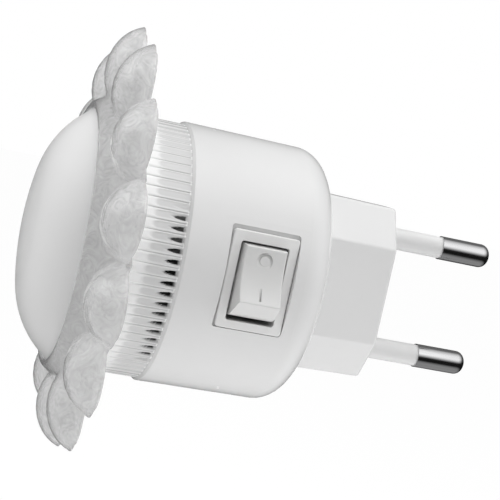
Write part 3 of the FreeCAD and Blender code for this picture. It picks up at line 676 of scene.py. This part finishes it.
class NIGHTLIGHT_OT_skirt(bpy.types.Operator):
    """Models the fluted skirt between the petals and the drum"""

    bl_idname = "night_light.skirt"
    bl_label = "Fluted skirt"

    def execute(self, context):
        sizes = shade_sizes()
        piece = grid_piece("fluted_skirt", FLUTE_COLUMNS, FLUTE_ROWS + len(skirt_back()) + 1)
        layer = piece.data.color_attributes.new("tone", "FLOAT_COLOR", "POINT")
        for index, vertex in enumerate(piece.data.vertices):
            tone, slot = painted_flute_tone((vertex.co.x + 1) / 2, (vertex.co.y + 1) / 2)
            layer.data[index].color = (tone, slot, 0.0, 1.0)
        lay_on(piece, flute_surface)
        repeat_round(piece, sizes.flute_count)
        darken_slots(piece)
        turn_faces_out(piece, outward_share(piece))
        smooth_by_angle(piece, 50)
        settle(piece, HOME, fluted_plastic(), ["flower_shade"])
        return {"FINISHED"}


def dome_profile(radius_crown, radius_shoulder, steps):
    """Points of the dome's outside on two tangent arcs, from its apex to its rim and seat."""
    rim_y = DOME_SEAT - DOME_RIM
    crown_y = DOME_APEX + radius_crown
    gap = radius_crown - radius_shoulder
    drop = crown_y - rim_y
    reach = math.hypot(DOME_RADIUS, drop)
    swing = math.acos((gap ** 2 + reach ** 2 - radius_shoulder ** 2) / (2 * gap * reach))
    tilt = math.atan2(DOME_RADIUS, drop) - swing
    centre_r, centre_y = gap * math.sin(tilt), crown_y - gap * math.cos(tilt)
    rim_angle = math.acos((centre_y - rim_y) / radius_shoulder)
    points = []
    for index in range(steps):
        angle = tilt * index / steps
        points.append((radius_crown * math.sin(angle), crown_y - radius_crown * math.cos(angle)))
    for index in range(steps + 1):
        angle = tilt + (rim_angle - tilt) * index / steps
        points.append((centre_r + radius_shoulder * math.sin(angle),
                       centre_y - radius_shoulder * math.cos(angle)))
    points.append((DOME_RADIUS, DOME_SEAT))
    return points


class NIGHTLIGHT_OT_dome(bpy.types.Operator):
    """Models the opal dome by spinning its outline"""

    bl_idname = "night_light.dome"
    bl_label = "Opal dome"

    def execute(self, context):
        outline = dome_profile(DOME_CROWN_RADIUS, DOME_SHOULDER_RADIUS, DOME_ARC_STEPS)
        piece = spun_piece("dome_lens", outline, DOME_TURN_STEPS)
        turn_faces_out(piece, forward_share(piece))
        add_wall(piece, DOME_WALL)
        smooth_by_angle(piece, 35)
        settle(piece, HOME, opal_plastic(), ["opal_dome"])
        return {"FINISHED"}


def spun_piece(name, outline, steps):
    """A surface of revolution about Y from (radius, y) points, spun in edit mode."""
    mesh = bpy.data.meshes.new(name)
    corners = [(radius, y, 0.0) for radius, y in outline]
    edges = [(index, index + 1) for index in range(len(corners) - 1)]
    mesh.from_pydata(corners, edges, [])
    piece = bpy.data.objects.new(name, mesh)
    bpy.context.scene.collection.objects.link(piece)
    make_active(piece)
    bpy.ops.object.mode_set(mode="EDIT")
    bpy.ops.mesh.select_all(action="SELECT")
    bpy.ops.mesh.spin(steps=steps, angle=2 * math.pi, center=(0, 0, 0), axis=(0, 1, 0))
    bpy.ops.mesh.select_all(action="SELECT")
    bpy.ops.mesh.remove_doubles(threshold=SPIN_MERGE)
    bpy.ops.mesh.normals_make_consistent(inside=False)
    bpy.ops.object.mode_set(mode="OBJECT")
    return piece


def new_material(name):
    """A fresh material and its shader, nodes and links."""
    material = bpy.data.materials.new(name)
    material.use_nodes = True
    tree = material.node_tree
    shader = tree.nodes["Principled BSDF"]
    return material, shader, tree.nodes, tree.links


def object_place(nodes):
    """The shaded point's place in the piece's own coordinates."""
    return nodes.new("ShaderNodeTexCoord").outputs["Object"]


def noise_at(nodes, links, scale, detail=3.0, distortion=0.0, place=None):
    """Noise fixed to the piece, swirled by its distortion."""
    noise = nodes.new("ShaderNodeTexNoise")
    noise.inputs["Scale"].default_value = scale
    noise.inputs["Detail"].default_value = detail
    noise.inputs["Distortion"].default_value = distortion
    links.new(place or object_place(nodes), noise.inputs["Vector"])
    return noise.outputs["Fac"]


def set_range(node, from_min, from_max, to_min, to_max):
    """Sets which stretch of values a Map Range node maps to which."""
    node.inputs["From Min"].default_value = from_min
    node.inputs["From Max"].default_value = from_max
    node.inputs["To Min"].default_value = to_min
    node.inputs["To Max"].default_value = to_max


def spread(nodes, links, value, low, high):
    """Maps a 0 to 1 value to a range."""
    mapped = nodes.new("ShaderNodeMapRange")
    mapped.inputs["To Min"].default_value = low
    mapped.inputs["To Max"].default_value = high
    links.new(value, mapped.inputs["Value"])
    return mapped.outputs["Result"]


def tinted(nodes, links, value, dark, light):
    """A colour between two, chosen by a 0 to 1 value."""
    ramp = nodes.new("ShaderNodeValToRGB")
    ramp.color_ramp.elements[0].color = (*dark, 1.0)
    ramp.color_ramp.elements[1].color = (*light, 1.0)
    links.new(value, ramp.inputs["Fac"])
    return ramp.outputs["Color"]


def add_bump(nodes, links, shader, height, distance, strength=1.0, edge_round=0.0):
    """Gives a surface fine relief, and shades its edges as rounded where a radius is given."""
    bump = nodes.new("ShaderNodeBump")
    bump.inputs["Distance"].default_value = distance
    bump.inputs["Strength"].default_value = strength
    links.new(height, bump.inputs["Height"])
    if edge_round:
        rounding = nodes.new("ShaderNodeBevel")
        rounding.samples = 6
        rounding.inputs["Radius"].default_value = edge_round
        links.new(rounding.outputs["Normal"], bump.inputs["Normal"])
    links.new(bump.outputs["Normal"], shader.inputs["Normal"])


def moulded_plastic(name, colour, roughness, edge_round=0.0, grain=0.004 * MM):
    """Moulded plastic with faint flow marks, an uneven polish and a fine skin."""
    material, shader, nodes, links = new_material(name)
    flow = noise_at(nodes, links, FLOW_SCALE)
    dark = [max(channel - FLOW_SHADE, 0.0) for channel in colour]
    links.new(tinted(nodes, links, flow, dark, colour), shader.inputs["Base Color"])
    polish = noise_at(nodes, links, POLISH_SCALE, 2.0)
    uneven = spread(nodes, links, polish, roughness * 0.8, roughness * 1.25)
    links.new(uneven, shader.inputs["Roughness"])
    skin = noise_at(nodes, links, SKIN_SCALE, 1.0)
    add_bump(nodes, links, shader, skin, grain, 0.5, edge_round)
    shader.inputs["IOR"].default_value = 1.5
    return material, shader


def clear_plastic():
    """Clear plastic with swirls of its flow, which looks pale grey on white, and a painted faint
    glow that lightens it.
    """
    material, shader, nodes, links = new_material("clear_acrylic")
    colour = list(finish_colours().clear)
    swirl = noise_at(nodes, links, 330.0, 4.0, distortion=4.0)
    dark = [channel - 0.44 for channel in colour]
    shade = tinted(nodes, links, swirl, dark, colour)
    links.new(shade, shader.inputs["Base Color"])
    # Painted glow: the swirled colour is also given off as faint light of its own.
    links.new(shade, shader.inputs["Emission Color"])
    shader.inputs["Emission Strength"].default_value = 0.11
    shader.inputs["Transmission Weight"].default_value = 0.62
    shader.inputs["IOR"].default_value = 1.45
    polish = noise_at(nodes, links, 350.0)
    links.new(spread(nodes, links, polish, 0.04, 0.14), shader.inputs["Roughness"])
    add_bump(nodes, links, shader, swirl, 0.25 * MM, 0.5)
    shader.inputs["Coat Weight"].default_value = 0.8
    shader.inputs["Coat Roughness"].default_value = 0.02
    return material


def fluted_plastic():
    """The skirt on its white backing: its lightness comes from the flutes' own pattern of painted
    shade.
    """
    material, shader, nodes, links = new_material("fluted_acrylic")
    tone = nodes.new("ShaderNodeVertexColor")
    tone.layer_name = "tone"
    cloud = noise_at(nodes, links, 120.0)
    mix = nodes.new("ShaderNodeMix")
    mix.data_type = "RGBA"
    mix.blend_type = "MULTIPLY"
    mix.inputs["Factor"].default_value = 1.0
    links.new(tone.outputs["Color"], mix.inputs["A"])
    clouded = tinted(nodes, links, cloud, (0.95, 0.95, 0.95), WHITE[:3])
    links.new(clouded, mix.inputs["B"])
    links.new(mix.outputs["Result"], shader.inputs["Base Color"])
    polish = noise_at(nodes, links, 500.0)
    links.new(spread(nodes, links, polish, 0.12, 0.25), shader.inputs["Roughness"])
    shader.inputs["Coat Weight"].default_value = 0.6
    shader.inputs["Coat Roughness"].default_value = 0.05
    return material


def opal_plastic():
    """Milky plastic that light enters a little way."""
    material, shader, nodes, links = new_material("opal_diffuser")
    colour = list(finish_colours().opal)
    cloud = noise_at(nodes, links, 60.0)
    dark = [channel - 0.012 for channel in colour]
    links.new(tinted(nodes, links, cloud, dark, colour), shader.inputs["Base Color"])
    polish = noise_at(nodes, links, 300.0)
    links.new(spread(nodes, links, polish, 0.20, 0.30), shader.inputs["Roughness"])
    shader.inputs["Subsurface Weight"].default_value = 0.35
    shader.inputs["Subsurface Radius"].default_value = (2.0 * MM, 2.0 * MM, 2.0 * MM)
    shader.inputs["Subsurface Scale"].default_value = 1.0
    return material


def plated_metal():
    """Nickel plate, drawn along the pin, so that fine streaks run along it."""
    material, shader, nodes, links = new_material("nickel_plate")
    colour = finish_colours().plate
    shader.inputs["Metallic"].default_value = 1.0
    stretch = nodes.new("ShaderNodeMapping")
    stretch.inputs["Scale"].default_value = (1.0, 0.05, 1.0)
    links.new(object_place(nodes), stretch.inputs["Vector"])
    streak = noise_at(nodes, links, 2600.0, place=stretch.outputs["Vector"])
    dark = [channel * 0.72 for channel in colour]
    links.new(tinted(nodes, links, streak, dark, colour), shader.inputs["Base Color"])
    polish = noise_at(nodes, links, 700.0)
    links.new(spread(nodes, links, polish, 0.10, 0.18), shader.inputs["Roughness"])
    add_bump(nodes, links, shader, streak, 0.003 * MM, 0.5, 0.05 * MM)
    return material


def metal_strip(name, colour, roughness):
    """Bare metal, slightly stained."""
    material, shader, nodes, links = new_material(name)
    stain = noise_at(nodes, links, 900.0)
    dark = [channel * 0.8 for channel in colour]
    links.new(tinted(nodes, links, stain, dark, colour), shader.inputs["Base Color"])
    shader.inputs["Metallic"].default_value = 1.0
    uneven = spread(nodes, links, stain, roughness * 0.8, roughness * 1.3)
    links.new(uneven, shader.inputs["Roughness"])
    add_bump(nodes, links, shader, stain, 0.003 * MM, 0.4)
    return material


def dress(node, material):
    """Gives a CAD node its finish."""
    slots = NODES[node].data.materials
    slots.clear()
    slots.append(material)


class NIGHTLIGHT_OT_finishes(bpy.types.Operator):
    """Gives every piece that stays as built its own finish"""

    bl_idname = "night_light.finishes"
    bl_label = "Finishes"

    def execute(self, context):
        colours = finish_colours()
        housing, shader = moulded_plastic("housing_white", list(colours.housing), 0.24,
                                          0.12 * MM)
        shader.inputs["Coat Weight"].default_value = 0.35
        shader.inputs["Coat Roughness"].default_value = 0.06
        dress("drum_housing", housing)
        bezel = moulded_plastic("bezel_white", BEZEL_WHITE, 0.34, 0.16 * MM)[0]
        dress("switch_body", bezel)
        rocker = moulded_plastic("rocker_white", list(colours.rocker), 0.42, 0.16 * MM,
                                 grain=0.010 * MM)[0]
        dress("switch_rocker", rocker)
        sleeve = moulded_plastic("sleeve_white", SLEEVE_WHITE, 0.30, 0.08 * MM)[0]
        plate = plated_metal()
        for side in ("live", "neutral"):
            dress(side + "_pin", plate)
            dress(side + "_pin_sleeve", sleeve)
        brass = metal_strip("contact_brass", BRASS, 0.3)
        for node in ("contact_lever", "centre_terminal", "end_terminal"):
            dress(node, brass)
        dress("plunger_spring", metal_strip("spring_steel", STEEL, 0.3))
        dress("board_screws", metal_strip("zinc_plate", ZINC, 0.35))
        for node, name, colour, roughness in PLAIN_FINISHES:
            dress(node, moulded_plastic(name, colour, roughness)[0])
        return {"FINISHED"}


def seen_ray(nodes, links):
    """Two values: 1 for rays from the camera or through clear walls, and 1 for mirrored rays."""
    path = nodes.new("ShaderNodeLightPath")
    seen = nodes.new("ShaderNodeMath")
    seen.operation = "MAXIMUM"
    links.new(path.outputs["Is Camera Ray"], seen.inputs[0])
    links.new(path.outputs["Is Transmission Ray"], seen.inputs[1])
    return seen.outputs["Value"], path.outputs["Is Glossy Ray"]


def mixed_shaders(nodes, links, share, first, second):
    """The first shader where the share is 0 and the second where it is 1."""
    mix = nodes.new("ShaderNodeMixShader")
    links.new(share, mix.inputs["Fac"])
    links.new(first, mix.inputs[1])
    links.new(second, mix.inputs[2])
    return mix.outputs["Shader"]


def area_lamp(name, place, aim, size, power):
    """A round lamp that isn't seen in mirroring surfaces."""
    light = bpy.data.lights.new(name, "AREA")
    light.shape = "DISK"
    light.size = size
    light.energy = power
    lamp = bpy.data.objects.new(name, light)
    lamp.location = place
    lamp.rotation_mode = "QUATERNION"
    lamp.rotation_quaternion = (Vector(aim) - Vector(place)).to_track_quat("-Z", "Y")
    lamp.visible_glossy = False
    bpy.context.scene.collection.objects.link(lamp)


def white_floor():
    """Pale floor that keeps some of the shadow and otherwise looks like the white surround."""
    material, shader, nodes, links = new_material("pale_floor")
    shader.inputs["Base Color"].default_value = FLOOR_GREY
    shader.inputs["Roughness"].default_value = 0.9
    glow = nodes.new("ShaderNodeEmission")
    glow.inputs["Color"].default_value = WHITE
    glow.inputs["Strength"].default_value = FLOOR_GLOW
    share = nodes.new("ShaderNodeMath")
    share.operation = "MULTIPLY"
    share.inputs[1].default_value = FLOOR_GLOW_SHARE
    seen, mirrored = seen_ray(nodes, links)
    links.new(seen, share.inputs[0])
    dim = nodes.new("ShaderNodeEmission")
    distance = nodes.new("ShaderNodeVectorMath")
    distance.operation = "LENGTH"
    links.new(object_place(nodes), distance.inputs[0])
    fall = nodes.new("ShaderNodeMapRange")
    set_range(fall, 0.10, 0.24, 0.30, 0.01)
    links.new(distance.outputs["Value"], fall.inputs["Value"])
    links.new(fall.outputs["Result"], dim.inputs["Strength"])
    lit = mixed_shaders(nodes, links, mirrored, shader.outputs["BSDF"], dim.outputs["Emission"])
    both = mixed_shaders(nodes, links, share.outputs["Value"], lit, glow.outputs["Emission"])
    links.new(both, nodes["Material Output"].inputs["Surface"])
    return material


def white_world(strength):
    """An even surround that lights at one strength, shows as white and mirrors as a soft box."""
    world = bpy.data.worlds.new("surround")
    world.use_nodes = True
    nodes, links = world.node_tree.nodes, world.node_tree.links
    lit = nodes["Background"]
    lit.inputs["Color"].default_value = WHITE
    lit.inputs["Strength"].default_value = strength
    shown = nodes.new("ShaderNodeBackground")
    shown.inputs["Color"].default_value = WHITE
    shown.inputs["Strength"].default_value = 1.0
    mirror = nodes.new("ShaderNodeBackground")
    links.new(sky_for_mirrors(nodes, links), mirror.inputs["Color"])
    seen, mirrored = seen_ray(nodes, links)
    unseen = mixed_shaders(nodes, links, mirrored,
                           lit.outputs["Background"], mirror.outputs["Background"])
    both = mixed_shaders(nodes, links, seen, unseen, shown.outputs["Background"])
    links.new(both, nodes["World Output"].inputs["Surface"])
    bpy.context.scene.world = world


def sky_for_mirrors(nodes, links):
    """What shiny surfaces mirror: a soft box on the switch's side, over a dark horizon."""
    way = nodes.new("ShaderNodeTexCoord").outputs["Generated"]
    split = nodes.new("ShaderNodeSeparateXYZ")
    links.new(way, split.inputs["Vector"])
    towards = nodes.new("ShaderNodeVectorMath")
    towards.operation = "DOT_PRODUCT"
    towards.inputs[1].default_value = SOFT_BOX_WAY
    links.new(way, towards.inputs[0])
    box = nodes.new("ShaderNodeMapRange")
    set_range(box, 0.40, 0.99, 0.16, 1.25)
    links.new(towards.outputs["Value"], box.inputs["Value"])
    horizon = nodes.new("ShaderNodeMapRange")
    set_range(horizon, 0.0, 0.50, 0.03, 1.0)
    links.new(split.outputs["Z"], horizon.inputs["Value"])
    both = nodes.new("ShaderNodeMath")
    both.operation = "MULTIPLY"
    links.new(box.outputs["Result"], both.inputs[0])
    links.new(horizon.outputs["Result"], both.inputs[1])
    return both.outputs["Value"]


class NIGHTLIGHT_OT_studio(bpy.types.Operator):
    """Sets up the camera, the pale floor, the surround and the lamps"""

    bl_idname = "night_light.studio"
    bl_label = "Studio"

    def execute(self, context):
        settings = studio_settings()
        a, e, roll = settings.azimuth, settings.elevation, settings.roll
        back = Vector((math.sin(a) * math.cos(e), -math.cos(a) * math.cos(e), math.sin(e)))
        level_right = Vector((math.cos(a), math.sin(a), 0))
        level_up = back.cross(level_right)
        right = level_right * math.cos(roll) + level_up * math.sin(roll)
        up = level_up * math.cos(roll) - level_right * math.sin(roll)
        camera = bpy.data.objects.new("camera", bpy.data.cameras.new("camera"))
        camera.data.lens = settings.lens
        camera.data.sensor_width = SENSOR_WIDTH
        camera.data.clip_start = CLIP_NEAR
        camera.data.clip_end = CLIP_FAR
        turn = Matrix((right, up, back)).transposed().to_4x4()
        camera.matrix_world = Matrix.Translation(Vector(settings.place)) @ turn
        context.scene.collection.objects.link(camera)
        context.scene.camera = camera

        clear_selection()
        under = (0, 0, -settings.floor_depth)
        bpy.ops.mesh.primitive_plane_add(size=FLOOR_SIZE, location=under)
        floor = bpy.context.object
        floor.name = "floor"
        floor.data.materials.append(white_floor())
        white_world(settings.surround)
        for name, place, aim, size, power in LAMPS:
            area_lamp(name, place, aim, size, getattr(settings, power))
        context.scene.view_settings.view_transform = "Standard"
        return {"FINISHED"}


class NIGHTLIGHT_PT_panel(bpy.types.Panel):
    """Lists the night light's pieces"""

    bl_idname = "NIGHTLIGHT_PT_panel"
    bl_label = "Night light"
    bl_space_type = "VIEW_3D"
    bl_region_type = "UI"
    bl_category = "Night light"

    def draw(self, context):
        for operator in OPERATORS:
            self.layout.operator(operator.bl_idname)


OPERATORS = (
    NIGHTLIGHT_OT_studio,
    NIGHTLIGHT_OT_flower,
    NIGHTLIGHT_OT_skirt,
    NIGHTLIGHT_OT_dome,
    NIGHTLIGHT_OT_finishes,
)
GROUPS = {
    "night_light_shade": ShadeSizes,
    "night_light_finish": FinishColours,
    "night_light_studio": StudioSettings,
}


def register():
    for group in GROUPS.values():
        bpy.utils.register_class(group)
    for name, group in GROUPS.items():
        setattr(bpy.types.Scene, name, bpy.props.PointerProperty(type=group))
    for operator in OPERATORS:
        bpy.utils.register_class(operator)
    bpy.utils.register_class(NIGHTLIGHT_PT_panel)


def unregister():
    bpy.utils.unregister_class(NIGHTLIGHT_PT_panel)
    for operator in reversed(OPERATORS):
        bpy.utils.unregister_class(operator)
    for name, group in GROUPS.items():
        delattr(bpy.types.Scene, name)
        bpy.utils.unregister_class(group)


def main():
    register()
    for operator in OPERATORS:
        group, action = operator.bl_idname.split(".")
        getattr(getattr(bpy.ops, group), action)()


if __name__ == "__main__":
    main()
